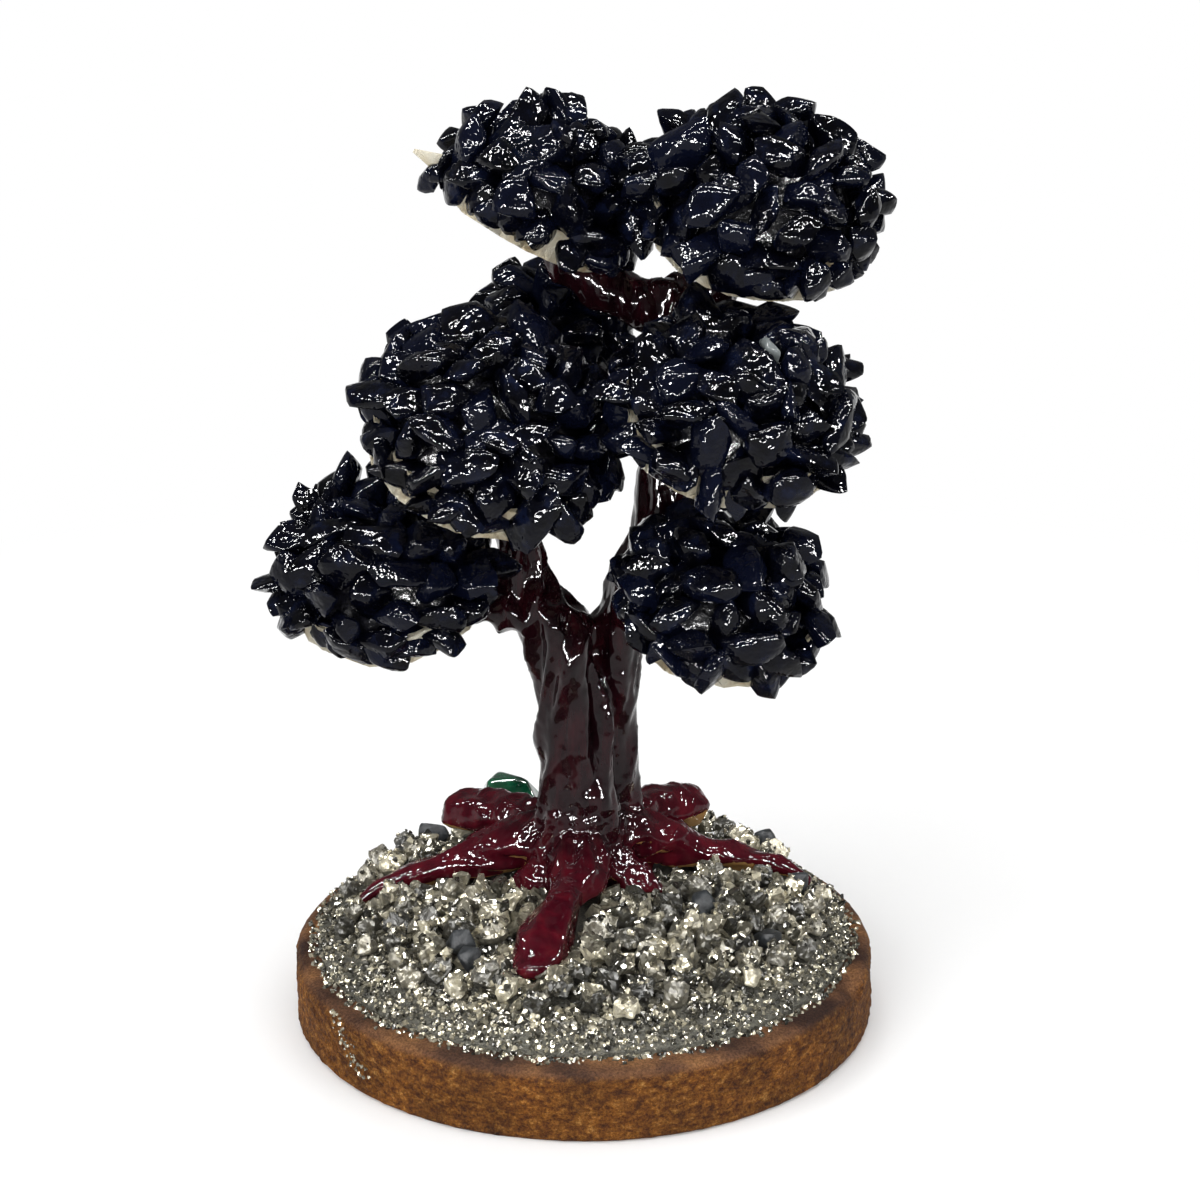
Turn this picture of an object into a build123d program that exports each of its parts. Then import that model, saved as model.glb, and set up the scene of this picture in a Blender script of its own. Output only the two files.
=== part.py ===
from build123d import *

import math
import os
from random import Random

import numpy as np
from scipy.spatial import ConvexHull

# A gemstone tree ornament in the manner of a bonsai. Seven felt pads each carry a dome of
# lacquered stone chips. They sit on a modelled trunk of two stems over an armature of wire, whose
# roots lie on a bed of pyrite grit on a round fibreboard base.
# Millimetres, +Z up, origin at the centre of the base's underside, viewed from -Y.

# Base
base_diameter = 100.0
base_thickness = 12.0
base_top_round = 1.6
base_foot_round = 0.5

# Bed of grit, a shallow dome set back on the base, so that the bare rim is wider in front
bed_margin = 4.0
bed_setback = 2.2
bed_lip = 0.8
bed_rise = 6.4

# Trunk of two stems, measured from its foot on the base's top
trunk_setback = 10.0
trunk_width = 16.8
stem_height = 113.0

# Armature wires, in blind holes in the base
armature_diameter = 2.2
armature_socket_depth = 8.0
armature_clearance = 0.05
armature_bend_radius = 12.0

# Roots: how far each one reaches from the trunk's foot, and its thickest girth
left_root_reach = 40.0
left_root_girth = 9.4
front_root_reach = 38.0
front_root_girth = 9.4
right_root_reach = 41.0
right_root_girth = 9.2
back_left_root_reach = 29.0
back_left_root_girth = 7.8
back_right_root_reach = 28.0
back_right_root_girth = 8.0
front_left_root_reach = 15.0
front_left_root_girth = 6.6
front_right_root_reach = 16.0
front_right_root_girth = 6.8
root_climb = 12.0

# Pads: felt backing discs, the glue on them and the pins that hold them to the branches
low_left_pad_diameter = 32.4
low_right_pad_diameter = 30.4
mid_left_pad_diameter = 37.4
mid_right_pad_diameter = 34.4
mid_back_pad_diameter = 23.4
top_left_pad_diameter = 29.4
top_right_pad_diameter = 34.4
backing_thickness = 1.0
glue_margin = 2.0
pin_diameter = 1.2
pin_clearance = 0.05
pin_reach_in_branch = 6.0
pin_reach_in_glue = 2.0

# Branches between a stem and a pad
branch_girth = 7.0
branch_neck_girth = 5.0
branch_foot_girth = 9.0
branch_approach = 5.0

# Stone chips
chip_length = 10.0
chip_width = 7.4
chip_thickness = 5.4
chip_pitch = 4.9
chip_step = 0.9
chip_gap = 0.12
chip_corner_spacing = 1.1

# Stones on the bed
lump_size = 7.0
lump_pitch = 5.2
lump_setback = 4.0
lump_gap = 0.12
lump_corner_spacing = 1.0
lump_root_clearance = 0.3
green_stone_length = 15.0
green_stone_width = 14.0
green_stone_thickness = 15.0
green_stone_reach = 26.0

base_radius = base_diameter / 2
bed_radius = base_radius - bed_margin
bed_centre = Vector(0, bed_setback, base_thickness)
foot = Vector(0, trunk_setback, base_thickness)
up = Vector(0, 0, 1)

# Stems: place of each section as shares of the stem's height, then its half width and half depth
# as shares of the trunk's width.
left_stem_shares = [
    (-0.016, -0.008, 0.000, 0.58, 0.54),
    (-0.016, -0.008, 0.060, 0.50, 0.47),
    (-0.011, -0.006, 0.150, 0.41, 0.40),
    (-0.007, -0.004, 0.250, 0.35, 0.36),
    (-0.010, -0.004, 0.355, 0.35, 0.36),
    (-0.034, -0.003, 0.450, 0.37, 0.35),
    (-0.062, 0.000, 0.505, 0.34, 0.33),
    (-0.087, 0.002, 0.550, 0.25, 0.25),
    (-0.096, 0.002, 0.605, 0.22, 0.21),
    (-0.114, -0.004, 0.660, 0.20, 0.20),
    (-0.124, -0.026, 0.705, 0.19, 0.19),
]
right_stem_shares = [
    (0.048, 0.046, 0.000, 0.44, 0.42),
    (0.048, 0.046, 0.060, 0.36, 0.36),
    (0.046, 0.044, 0.150, 0.27, 0.30),
    (0.043, 0.043, 0.250, 0.25, 0.28),
    (0.042, 0.040, 0.355, 0.26, 0.29),
    (0.052, 0.036, 0.450, 0.31, 0.30),
    (0.080, 0.034, 0.520, 0.31, 0.30),
    (0.106, 0.034, 0.600, 0.29, 0.29),
    (0.127, 0.034, 0.700, 0.28, 0.27),
    (0.134, 0.032, 0.820, 0.27, 0.26),
    (0.130, 0.028, 0.930, 0.25, 0.25),
    (0.124, 0.024, 1.000, 0.17, 0.17),
]
stem_table = {"left_stem": left_stem_shares, "right_stem": right_stem_shares}
stem_section_points = 12
stem_ridges = 3
stem_ridge_share = 0.09
stem_twist_degrees = 150.0

# Roots: share of the reach, share of the reach to the side, share of the climb up the trunk and
# share of the girth, from the trunk to the tip.
long_root_shares = [
    (0.00, 0.00, 1.00, 0.95),
    (0.24, 0.02, 0.60, 1.00),
    (0.46, 0.05, 0.34, 0.88),
    (0.68, 0.05, 0.20, 0.62),
    (0.86, 0.01, 0.17, 0.40),
    (1.00, -0.06, 0.09, 0.24),
]
leaf_root_shares = [
    (0.00, 0.00, 0.62, 0.95),
    (0.26, 0.03, 0.40, 1.00),
    (0.46, 0.03, 0.24, 0.78),
    (0.70, -0.02, 0.18, 0.92),
    (0.88, -0.04, 0.12, 0.76),
    (1.00, -0.05, 0.06, 0.30),
]
stump_root_shares = [
    (0.00, 0.00, 0.95, 0.90),
    (0.35, -0.02, 0.76, 0.82),
    (0.70, 0.00, 0.72, 1.00),
    (1.00, 0.03, 0.68, 0.90),
]
short_root_shares = [
    (0.00, 0.00, 0.64, 1.00),
    (0.45, 0.02, 0.34, 1.00),
    (0.78, 0.00, 0.13, 0.78),
    (1.00, -0.04, 0.02, 0.40),
]
root_flatness_share = 0.84
# Each root: azimuth in degrees, reach, girth, its form and the side that it bows to
roots = {
    "left_root": (182.0, left_root_reach, left_root_girth, long_root_shares, -1),
    "front_root": (-101.0, front_root_reach, front_root_girth, leaf_root_shares, 1),
    "right_root": (12.0, right_root_reach, right_root_girth, long_root_shares, 1),
    "back_left_root": (142.0, back_left_root_reach, back_left_root_girth, stump_root_shares, 1),
    "back_right_root": (46.0, back_right_root_reach, back_right_root_girth, stump_root_shares, -1),
    "front_left_root": (-146.0, front_left_root_reach, front_left_root_girth, short_root_shares, 1),
    "front_right_root": (-34.0, front_right_root_reach, front_right_root_girth, short_root_shares, -1),
}

# Pads: centre from the trunk's foot as shares of the stem's height
pad_place_shares = {
    "low_left": (-0.286, -0.067, 0.568),
    "low_right": (0.193, -0.178, 0.560),
    "mid_left": (-0.138, -0.135, 0.808),
    "mid_right": (0.209, -0.185, 0.841),
    "mid_back": (-0.042, 0.156, 0.880),
    "top_left": (-0.070, 0.035, 1.096),
    "top_right": (0.250, -0.050, 1.105),
}
# Each pad: diameter, the lean of its face to the viewer and to the right in degrees, and the rise of
# its dome of glue as a share of the dome's radius
pads = {
    "low_left": (low_left_pad_diameter, 28.0, -5.0, 0.72),
    "low_right": (low_right_pad_diameter, 22.0, 13.0, 0.72),
    "mid_left": (mid_left_pad_diameter, 30.0, 18.0, 0.66),
    "mid_right": (mid_right_pad_diameter, 24.0, 9.0, 0.70),
    "mid_back": (mid_back_pad_diameter, 15.0, -4.0, 0.60),
    "top_left": (top_left_pad_diameter, 5.0, 27.0, 0.88),
    "top_right": (top_right_pad_diameter, 27.0, 8.0, 0.74),
}
# Where a pad sits on its branch, off its centre, as shares of its radius across and up its face
pad_seat_shares = {"low_left": (0.5, 0.1), "top_left": (0.52, 0.0)}
stem_pad = "mid_left"
# Each branch: its stem, and where it leaves the stem as a share of the stem's height
branch_start_shares = {
    "low_left": ("left_stem", 0.480),
    "low_right": ("right_stem", 0.490),
    "mid_right": ("right_stem", 0.740),
    "mid_back": ("right_stem", 0.770),
    "top_left": ("right_stem", 0.930),
    "top_right": ("right_stem", 0.900),
}

# Stones: corners of a rough stone, and how they and the layers of a pile vary
chip_corners = 10
lump_corners = 9
green_stone_corners = 16
chip_levels = 3
corner_jitter_share = 0.34
size_spread_share = 0.2
chip_seat_share = 0.34
chip_tilt_share = 0.9
least_chip_share = 0.12
lump_seat_share = 0.34
lump_taper_share = 0.4
lump_back_share = 0.3
dark_stone_every = 14
green_stone_azimuth = 119.0
golden_angle = math.pi * (3 - math.sqrt(5))


def ball_radius(radius, rise):
    """Radius of the ball that a dome is cut from."""
    return (radius**2 + rise**2) / (2 * rise)


def dome_height(run, radius, rise):
    """Height of a dome at a run from its middle."""
    ball = ball_radius(radius, rise)
    return math.sqrt(ball**2 - min(run, radius) ** 2) - ball + rise


def bed_top(x, y):
    run = math.hypot(x - bed_centre.X, y - bed_centre.Y)
    return base_thickness + bed_lip + dome_height(run, bed_radius, bed_rise)


def along_stem(shares, height_share):
    """Centre of a stem at a share of the stem's height."""
    heights = [row[2] for row in shares]
    x, y = (np.interp(height_share, heights, [row[i] for row in shares]) for i in (0, 1))
    return foot + Vector(x, y, height_share) * stem_height


def pad_plane(name):
    """Plane of a pad's underside, its normal out of the face with the chips."""
    _, lean_forward, lean_right, _ = pads[name]
    normal = up.rotate(Axis.X, lean_forward).rotate(Axis.Y, lean_right)
    across = Vector(1, 0, 0) - normal * normal.X
    place = Vector(*pad_place_shares[name]) * stem_height
    return Plane(foot + place, x_dir=across, z_dir=normal)


def pad_seat(name):
    """Plane on a pad's underside where its branch ends and its pin goes through."""
    plane = pad_plane(name)
    across, upward = pad_seat_shares.get(name, (0, 0))
    plane.origin += (plane.x_dir * across + plane.y_dir * upward) * (pads[name][0] / 2)
    return plane


def ridged_section(plane, half_width, half_depth, turn):
    """Closed section with soft ridges, as clay wrung round a wire takes them."""
    corners = []
    for i in range(stem_section_points):
        angle = math.tau * i / stem_section_points
        swell = 1 + stem_ridge_share * math.cos(stem_ridges * angle + turn)
        corners.append((half_width * swell * math.cos(angle), half_depth * swell * math.sin(angle)))
    return plane * make_face(Spline(*corners, periodic=True))


def stem_sections(shares):
    sections = []
    for x, y, z, half_width, half_depth in shares:
        turn = math.radians(stem_twist_degrees) * z * stem_ridges
        plane = Plane(foot + Vector(x, y, z) * stem_height)
        sections.append(ridged_section(plane, half_width * trunk_width, half_depth * trunk_width, turn))
    return sections


def make_left_stem():
    """Left stem, whose limb runs on to the underside of its own pad."""
    pad = pad_seat(stem_pad)
    neck = Plane(pad.origin - pad.z_dir * branch_approach, x_dir=pad.x_dir, z_dir=pad.z_dir)
    ends = [neck * Circle(branch_neck_girth / 2), pad * Circle(branch_foot_girth / 2)]
    return loft(stem_sections(left_stem_shares) + ends)


def make_right_stem():
    return loft(stem_sections(right_stem_shares))


def armature(shares, radius):
    """Wire through the middle of a stem, straight up from its socket in the base."""
    rows = [shares[1]] + shares[3::2]
    points = [foot + Vector(x, y, z) * stem_height for x, y, z, _, _ in rows]
    socket_end = Vector(points[0].X, points[0].Y, base_thickness - armature_socket_depth)
    path = FilletPolyline(socket_end, *points, radius=armature_bend_radius)
    return sweep(Plane(socket_end) * Circle(radius), path=path)


def make_base():
    """Board disc with rounded edges and the sockets of the armature wires."""
    disc = Cylinder(base_radius, base_thickness, align=(Align.CENTER, Align.CENTER, Align.MIN))
    disc = fillet(disc.edges().group_by(Axis.Z)[-1], base_top_round)
    disc = fillet(disc.edges().group_by(Axis.Z)[0], base_foot_round)
    bore = Circle(armature_diameter / 2 + armature_clearance)
    for shares in stem_table.values():
        place = along_stem(shares, 0)
        disc -= extrude(Plane(place) * bore, -armature_socket_depth)
    return disc


def make_bed():
    """Dome of grit with a low lip, turned about its own centre."""
    crown = bed_lip + bed_rise
    edge = Polyline((0, crown), (0, 0), (bed_radius, 0), (bed_radius, bed_lip))
    dome = RadiusArc((bed_radius, bed_lip), (0, crown), -ball_radius(bed_radius, bed_rise))
    return Pos(*bed_centre) * revolve(Plane.XZ * make_face(edge + dome), Axis.Z)


def root_line(name):
    """Middle line of a root over the bed, and its half width at each point."""
    azimuth, reach, girth, shares, side = roots[name]
    heading = math.radians(azimuth)
    ahead = Vector(math.cos(heading), math.sin(heading), 0)
    aside = Vector(-math.sin(heading), math.cos(heading), 0) * side
    places = []
    for along, sideways, climb, _ in shares:
        place = foot + ahead * (along * reach) + aside * (sideways * reach)
        places.append(Vector(place.X, place.Y, bed_top(place.X, place.Y) + climb * root_climb))
    return places, [row[3] * girth / 2 for row in shares]


def make_root(name):
    """Root that leaves the trunk high and comes down onto the bed."""
    places, halves = root_line(name)
    sections = []
    for i, (place, half) in enumerate(zip(places, halves)):
        run = places[min(i + 1, len(places) - 1)] - places[max(i - 1, 0)]
        plane = Plane(place, x_dir=up.cross(run), z_dir=run)
        sections.append(plane * Ellipse(half, half * root_flatness_share))
    return loft(sections)


def make_branch(name):
    """Branch from the middle of its stem to the underside of its pad."""
    stem, height_share = branch_start_shares[name]
    pad = pad_seat(name)
    start = along_stem(stem_table[stem], height_share)
    approach = pad.origin - pad.z_dir * branch_approach
    middle = (start + approach) / 2
    places = [start, middle, approach, pad.origin]
    runs = [middle - start, approach - start, pad.origin - middle, pad.z_dir]
    girths = [branch_girth, branch_girth, branch_neck_girth, branch_foot_girth]
    return loft([Plane(p, z_dir=run) * Circle(girth / 2) for p, run, girth in zip(places, runs, girths)])


def make_backing(name):
    """Felt disc with the hole that its pin goes through."""
    disc = pad_plane(name) * extrude(Circle(pads[name][0] / 2), backing_thickness)
    return disc - pin(name, pin_clearance)


def glue_dome(name):
    """Radius and rise of a pad's dome of glue."""
    radius = pads[name][0] / 2 - glue_margin
    return radius, radius * pads[name][3]


def make_glue(name):
    """Dome of glue on the backing that the chips are pressed into."""
    radius, rise = glue_dome(name)
    edge = Polyline((0, rise), (0, 0), (radius, 0))
    arc = RadiusArc((radius, 0), (0, rise), -ball_radius(radius, rise))
    dome = revolve(Plane.XZ * make_face(edge + arc), Axis.Z)
    return pad_plane(name) * Pos(0, 0, backing_thickness) * dome - pin(name, pin_clearance)


def pin(name, clearance):
    """Pin from inside the branch into the glue."""
    length = pin_reach_in_branch + backing_thickness + pin_reach_in_glue
    shank = extrude(Circle(pin_diameter / 2 + clearance), length)
    return pad_seat(name) * Pos(0, 0, -pin_reach_in_branch) * shank


def unit(vector):
    return vector / np.linalg.norm(vector)


def random_unit(random):
    return unit(np.array([random.gauss(0, 1) for _ in range(3)]))


def clip(points, normal, limit):
    """Corners of the part of a convex stone that lies on the near side of a plane."""
    side = points @ normal - limit
    near, far = points[side <= 0], points[side > 0]
    if len(far) == 0 or len(near) == 0:
        return near
    share = side[side <= 0][:, None] / (side[side <= 0][:, None] - side[side > 0])
    crossings = near[:, None] + share[:, :, None] * (far - near[:, None])
    points = np.vstack([near, crossings.reshape(-1, 3)])
    return points[ConvexHull(points).vertices]


def rough_stone(random, centre, along, sizes, corners):
    """Rough stone about a centre: its corners, the spine that it lies along and its half sizes."""
    across = unit(np.cross(along, random_unit(random)))
    axes = np.array([along, across, np.cross(along, across)])
    sizes = [size * random.uniform(1 - size_spread_share, 1 + size_spread_share) for size in sizes]
    points = []
    for i in range(corners):
        level = 1 - (2 * i + 1) / corners
        ring = math.sqrt(1 - level**2)
        turn = i * golden_angle
        ball = np.array([level, ring * math.cos(turn), ring * math.sin(turn)])
        ball = unit(ball + corner_jitter_share * random_unit(random))
        points.append(centre + ball * np.array(sizes) / 2 @ axes)
    spine = along * (sizes[0] - sizes[1]) / 2
    return {
        "points": np.array(points),
        "spine": [centre - spine, centre, centre + spine],
        "half": sizes[1] / 2,
        "reach": sizes[0] / 2,
    }


def part_stones(stones, gap):
    """Cuts stones that would run into each other along a plane between their spines."""
    for i, one in enumerate(stones):
        for other in stones[:i]:
            if np.linalg.norm(one["spine"][1] - other["spine"][1]) > one["reach"] + other["reach"]:
                continue
            pairs = [(np.linalg.norm(far - near), near, far) for near in one["spine"] for far in other["spine"]]
            apart, near, far = min(pairs, key=lambda pair: pair[0])
            normal = (far - near) / apart
            limit = normal @ near + apart * one["half"] / (one["half"] + other["half"])
            if len(one["points"]) and len(other["points"]):
                one["points"] = clip(one["points"], normal, limit - gap / 2)
                other["points"] = clip(other["points"], -normal, -limit - gap / 2)


def stone_solid(stone, spacing):
    """Solid of a stone, with corners that crowd another left out, or None for a mere crumb."""
    kept = []
    for point in stone["points"]:
        if all(np.linalg.norm(point - other) >= spacing for other in kept):
            kept.append(point)
    if len(kept) < 5:
        return None
    least = least_chip_share * stone["reach"] * stone["half"] ** 2
    return ConvexPolyhedron(kept).solid() if ConvexHull(kept).volume > least else None


def glue_seats(name):
    """Seats spread evenly over a dome of glue, and the dome's normal at each."""
    radius, rise = glue_dome(name)
    ball = ball_radius(radius, rise)
    count = round(math.tau * ball * rise / chip_pitch**2)
    seats = []
    for i in range(count):
        level = 1 - rise / ball * (i + 0.5) / count
        ring = math.sqrt(1 - level**2)
        turn = i * golden_angle
        normal = np.array([ring * math.cos(turn), ring * math.sin(turn), level])
        seats.append((normal * ball - np.array([0, 0, ball - rise]), normal))
    return seats


def make_chips(name):
    """Chips of a pad, in overlapping levels over the dome of glue and out past the backing's rim."""
    random = Random(name)
    chips = []
    for i, (seat, normal) in enumerate(glue_seats(name)):
        level = chip_seat_share * chip_width + (i % chip_levels) * chip_step
        drift = unit(np.cross(normal, random_unit(random)))
        along = unit(drift + normal * random.uniform(0, chip_tilt_share))
        sizes = (chip_length, chip_width, chip_thickness)
        chip = rough_stone(random, seat + normal * level, along, sizes, chip_corners)
        chip["points"] = clip(chip["points"], -normal, -(normal @ seat) - chip_gap / 2)
        chip["points"] = clip(chip["points"], np.array([0, 0, -1]), -chip_gap / 2)
        chips.append(chip)
    part_stones(chips, chip_gap)
    place = pad_plane(name).location * Pos(0, 0, backing_thickness)
    solids = [stone_solid(chip, chip_corner_spacing) for chip in chips]
    return [place * solid for solid in solids if solid]


def clear_of_roots(place, reach, lines):
    """True where a lump of that reach lies clear of every root."""
    for places, halves in lines:
        for i in range(len(places) - 1):
            start = np.array([places[i].X, places[i].Y])
            run = np.array([places[i + 1].X, places[i + 1].Y]) - start
            share = np.clip((place - start) @ run / (run @ run), 0, 1)
            half = halves[i] + (halves[i + 1] - halves[i]) * share
            if np.linalg.norm(place - start - share * run) < half + reach + lump_root_clearance:
                return False
    return True


def stone_on_bed(random, x, y, sizes, corners):
    """Stone seated on the bed's slope."""
    ground = np.array([x, y, bed_top(x, y)])
    crown = bed_top(bed_centre.X, bed_centre.Y)
    normal = unit(ground - np.array([bed_centre.X, bed_centre.Y, crown - ball_radius(bed_radius, bed_rise)]))
    along = unit(np.cross(normal, random_unit(random)) + normal * random.uniform(0, 1))
    stone = rough_stone(random, ground + normal * lump_seat_share * sizes[1], along, sizes, corners)
    stone["points"] = clip(stone["points"], -normal, -(normal @ ground) - lump_gap / 2)
    return stone


def make_stones():
    """Pyrite lumps in four groups round the trunk, the dark stones among them and the green stone."""
    random = Random("pyrite")
    lines = [root_line(name) for name in roots]
    heading = math.radians(green_stone_azimuth)
    place = foot + Vector(math.cos(heading), math.sin(heading), 0) * green_stone_reach
    sizes = (green_stone_length, green_stone_width, green_stone_thickness)
    stones = [("green_stone", stone_on_bed(random, place.X, place.Y, sizes, green_stone_corners))]
    spread = bed_radius - lump_setback
    count = round(math.pi * spread**2 / lump_pitch**2)
    for i in range(count):
        share = math.sqrt((i + 0.5) / count)
        turn = i * golden_angle
        x = bed_centre.X + spread * share * math.cos(turn)
        y = bed_centre.Y + lump_setback + spread * share * math.sin(turn)
        edge_share = math.hypot(x - bed_centre.X, y - bed_centre.Y) / bed_radius
        back_share = max(0, y - bed_centre.Y) / bed_radius
        size = lump_size * (1 - lump_taper_share * edge_share**2 + lump_back_share * back_share)
        if not clear_of_roots(np.array([x, y]), size / 2, lines):
            continue
        quarter = round(math.atan2(y - bed_centre.Y, x - bed_centre.X) / (math.pi / 2)) % 4
        group = ("right_pyrite", "back_pyrite", "left_pyrite", "front_pyrite")[quarter]
        if len(stones) % dark_stone_every == 0:
            group = "dark_stones"
        stones.append((group, stone_on_bed(random, x, y, (size, size, size), lump_corners)))
    part_stones([stone for _, stone in stones], lump_gap)
    groups = {}
    for group, stone in stones:
        solid = stone_solid(stone, lump_corner_spacing)
        if solid:
            groups.setdefault(group, []).append(solid)
    return groups


def largest(shape):
    """A piece without the slivers that a cut along a curved face can leave."""
    return max(shape.solids(), key=lambda solid: solid.volume)


def make_tree(bed):
    """Stems, roots and branches, each cut to fit against those before it."""
    left_stem = make_left_stem()
    stems = [left_stem, largest(make_right_stem() - left_stem)]
    bores = [armature(shares, armature_diameter / 2 + armature_clearance) for shares in stem_table.values()]
    tree = {name: stem - bores for name, stem in zip(stem_table, stems)}
    tree["left_stem"] -= pin(stem_pad, pin_clearance)
    tree["grit_bed"] = bed - stems
    grown = []
    for name in roots:
        grown.append(largest(make_root(name) - stems - grown - bed))
        tree[name] = grown[-1]
    grown = []
    for name in branch_start_shares:
        grown.append(largest(make_branch(name) - stems - grown))
        tree[f"{name}_branch"] = grown[-1] - pin(name, pin_clearance)
    return tree


def main():
    parts = {"base_disc": make_base()}
    parts.update(make_tree(make_bed()))
    for side, shares in zip(("left", "right"), stem_table.values()):
        parts[f"{side}_armature_wire"] = armature(shares, armature_diameter / 2)
    parts["pad_pins"] = Compound(children=[pin(name, 0) for name in pads])
    for name in pads:
        parts[f"{name}_backing"] = make_backing(name)
        parts[f"{name}_glue"] = make_glue(name)
        parts[f"{name}_chips"] = Compound(children=make_chips(name))
    for name, solids in make_stones().items():
        parts[name] = Compound(children=solids)

    os.makedirs("parts", exist_ok=True)
    for name, part in parts.items():
        export_step(part, f"parts/{name}.step")
        print(name, "solids", len(part.solids()), "faces", len(part.faces()), "volume", round(part.volume, 1))


main()
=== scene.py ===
# %% [markdown]
# # A gemstone tree on a round base
# The object is a small tree in the manner of a bonsai. A modelled trunk under thick red-brown lacquer
# carries seven felt pads, each heaped with black tumbled stone chips. Its roots grip a bed of pyrite
# grit on a disc of stained fibreboard.
#
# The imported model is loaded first, as a fixed frame. Every piece below either dresses one of its nodes
# or stands in for it, in the same place and in metres.

# %% Load the frame
import math
from random import Random

import bpy
import numpy as np
from mathutils import Matrix, Vector, noise
from mathutils.bvhtree import BVHTree


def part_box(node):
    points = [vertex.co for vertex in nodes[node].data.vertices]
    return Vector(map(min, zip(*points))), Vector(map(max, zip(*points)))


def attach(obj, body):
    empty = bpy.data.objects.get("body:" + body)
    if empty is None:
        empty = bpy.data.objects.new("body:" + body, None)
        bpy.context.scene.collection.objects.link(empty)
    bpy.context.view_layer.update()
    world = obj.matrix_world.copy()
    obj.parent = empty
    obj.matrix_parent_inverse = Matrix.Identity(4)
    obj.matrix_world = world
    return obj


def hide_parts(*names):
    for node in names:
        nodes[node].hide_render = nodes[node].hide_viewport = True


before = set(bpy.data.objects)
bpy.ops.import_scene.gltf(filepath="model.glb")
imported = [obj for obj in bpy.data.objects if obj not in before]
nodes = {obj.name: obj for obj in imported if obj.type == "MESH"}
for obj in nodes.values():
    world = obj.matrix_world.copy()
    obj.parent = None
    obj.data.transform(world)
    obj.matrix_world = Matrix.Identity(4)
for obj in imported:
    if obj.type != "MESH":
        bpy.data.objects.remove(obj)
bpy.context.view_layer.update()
mm = 0.001
pads = ("low_left", "low_right", "mid_left", "mid_right", "mid_back", "top_left", "top_right")

# %% [markdown]
# ## Camera
# The photograph looks down on the tree by about nineteen degrees through a long lens, so the near and
# far rims of the base are almost the same size. A camera is aimed by its rotation: at zero it looks
# straight down, so a right angle less the pitch brings it up to the view.

# %% Place the camera
camera_place = Vector((0, -440, 226.7)) * mm
camera_pitch = math.radians(19.186)
camera_yaw = math.radians(0.363)
camera_lens = 84.16
camera_sensor = 36.0

bpy.ops.object.select_all(action="DESELECT")
bpy.ops.object.camera_add(
    location=camera_place, rotation=(math.pi / 2 - camera_pitch, 0, -camera_yaw)
)
camera = bpy.context.object
camera.data.lens = camera_lens
camera.data.sensor_width = camera_sensor
bpy.context.scene.camera = camera
bpy.context.scene.view_settings.view_transform = "Standard"
print("camera at", [round(c, 3) for c in camera.location], "lens", camera_lens)

# %% [markdown]
# ## Node helpers
# A finish is a small network of nodes. Written out one call at a time it fills the page, so two short
# helpers make a material and add a node with its settings and links in one line. Patterns read Object
# coordinates, which are metres here, so a scale of 1000 gives features of about a millimetre.


# %% Helpers for finishes
def add_node(material, kind, links=None, values=None, **settings):
    """Adds a node, sets its properties and values, and links its inputs from other sockets."""
    tree = material.node_tree
    node = tree.nodes.new(kind)
    for key, value in settings.items():
        setattr(node, key, value)
    for key, value in (values or {}).items():
        node.inputs[key].default_value = value
    for key, socket in (links or {}).items():
        tree.links.new(socket, node.inputs[key])
    return node


def new_finish(name, **values):
    """A material with one principled shader, whose plain values are set on its own sockets."""
    material = bpy.data.materials.new(name)
    material.use_nodes = True
    shader = material.node_tree.nodes["Principled BSDF"]
    for key, value in values.items():
        shader.inputs[key.replace("_", " ")].default_value = value
    return material, shader


def object_pattern(material, kind, stretch=(1, 1, 1), values=None, **settings):
    """A texture on Object coordinates, stretched along an axis where that is below one."""
    place = add_node(material, "ShaderNodeTexCoord").outputs["Object"]
    place = add_node(material, "ShaderNodeMapping", {"Vector": place}, {"Scale": stretch})
    return add_node(material, kind, {"Vector": place.outputs["Vector"]}, values, **settings)


def colour_ramp(material, factor, stops):
    """Colours along a factor: pairs of a place from zero to one and a colour."""
    ramp = add_node(material, "ShaderNodeValToRGB", {"Fac": factor})
    elements = ramp.color_ramp.elements
    while len(elements) < len(stops):
        elements.new(0.5)
    for element, (place, colour) in zip(elements, stops):
        element.position = place
        element.color = (*colour, 1)
    return ramp.outputs["Color"]


def mix_colours(material, factor, first, second, blend_type="MIX"):
    """Two colour sockets mixed by a factor, which is a socket or a number."""
    mixer = add_node(material, "ShaderNodeMix", data_type="RGBA", blend_type=blend_type)
    for socket, name in ((first, "A"), (second, "B")):
        place = [entry for entry in mixer.inputs if entry.name == name and entry.type == "RGBA"][0]
        if isinstance(socket, tuple):
            place.default_value = (*socket, 1)
        else:
            material.node_tree.links.new(socket, place)
    if isinstance(factor, float):
        mixer.inputs[0].default_value = factor
    else:
        material.node_tree.links.new(factor, mixer.inputs[0])
    return [entry for entry in mixer.outputs if entry.type == "RGBA"][0]


def spread(material, socket, low, high, to_low=0.0, to_high=1.0):
    """A value stretched from one range to another and kept inside it."""
    values = {"From Min": low, "From Max": high, "To Min": to_low, "To Max": to_high}
    return add_node(material, "ShaderNodeMapRange", {"Value": socket}, values).outputs["Result"]


def connect(material, shader, **sockets):
    """Links sockets to the shader's inputs of the same names."""
    for key, socket in sockets.items():
        material.node_tree.links.new(socket, shader.inputs[key.replace("_", " ")])


def bump(material, heights):
    """Bump from several heights, each a socket and the depth in millimetres that it makes."""
    normal = None
    for height, depth in heights:
        links = {"Height": height}
        if normal:
            links["Normal"] = normal
        values = {"Strength": 1.0, "Distance": depth * mm}
        normal = add_node(material, "ShaderNodeBump", links, values).outputs["Normal"]
    return normal


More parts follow.
